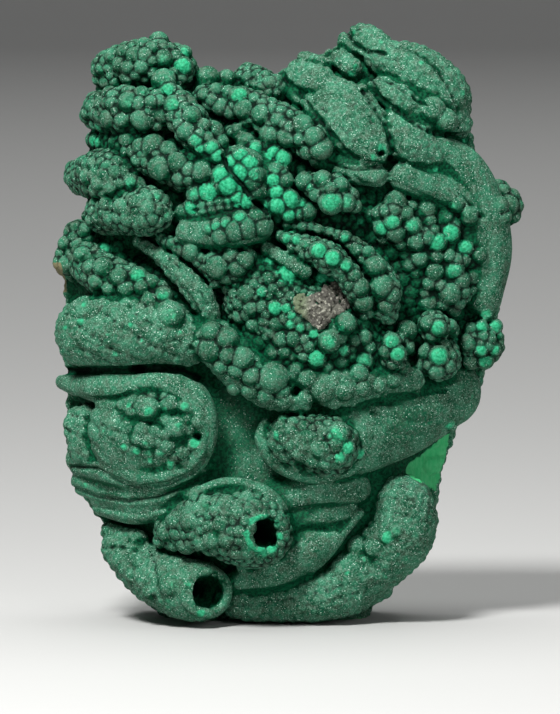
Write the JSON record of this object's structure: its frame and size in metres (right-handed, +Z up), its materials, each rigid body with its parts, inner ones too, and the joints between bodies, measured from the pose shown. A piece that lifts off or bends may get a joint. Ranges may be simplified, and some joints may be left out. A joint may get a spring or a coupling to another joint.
{
  "type": "malachite specimen",
  "caption": "Upright botryoidal and stalactitic mineral specimen with grape-like knobs, smooth rolled folds and open tube mouths, on a flat sawn base.",
  "frame": {"origin": "on the sawn base, under the middle of the specimen", "axes": "+Z up along the specimen's height, -Y out of the knobby show face, +X to the right of someone who looks at that face"},
  "size_m": [0.093, 0.0511, 0.1181],
  "materials": {
    "malachite": "dull drusy skin with bright worn tops"
  },
  "bodies": {
    "root": {"malachite": "malachite"}
  },
  "joints": []
}
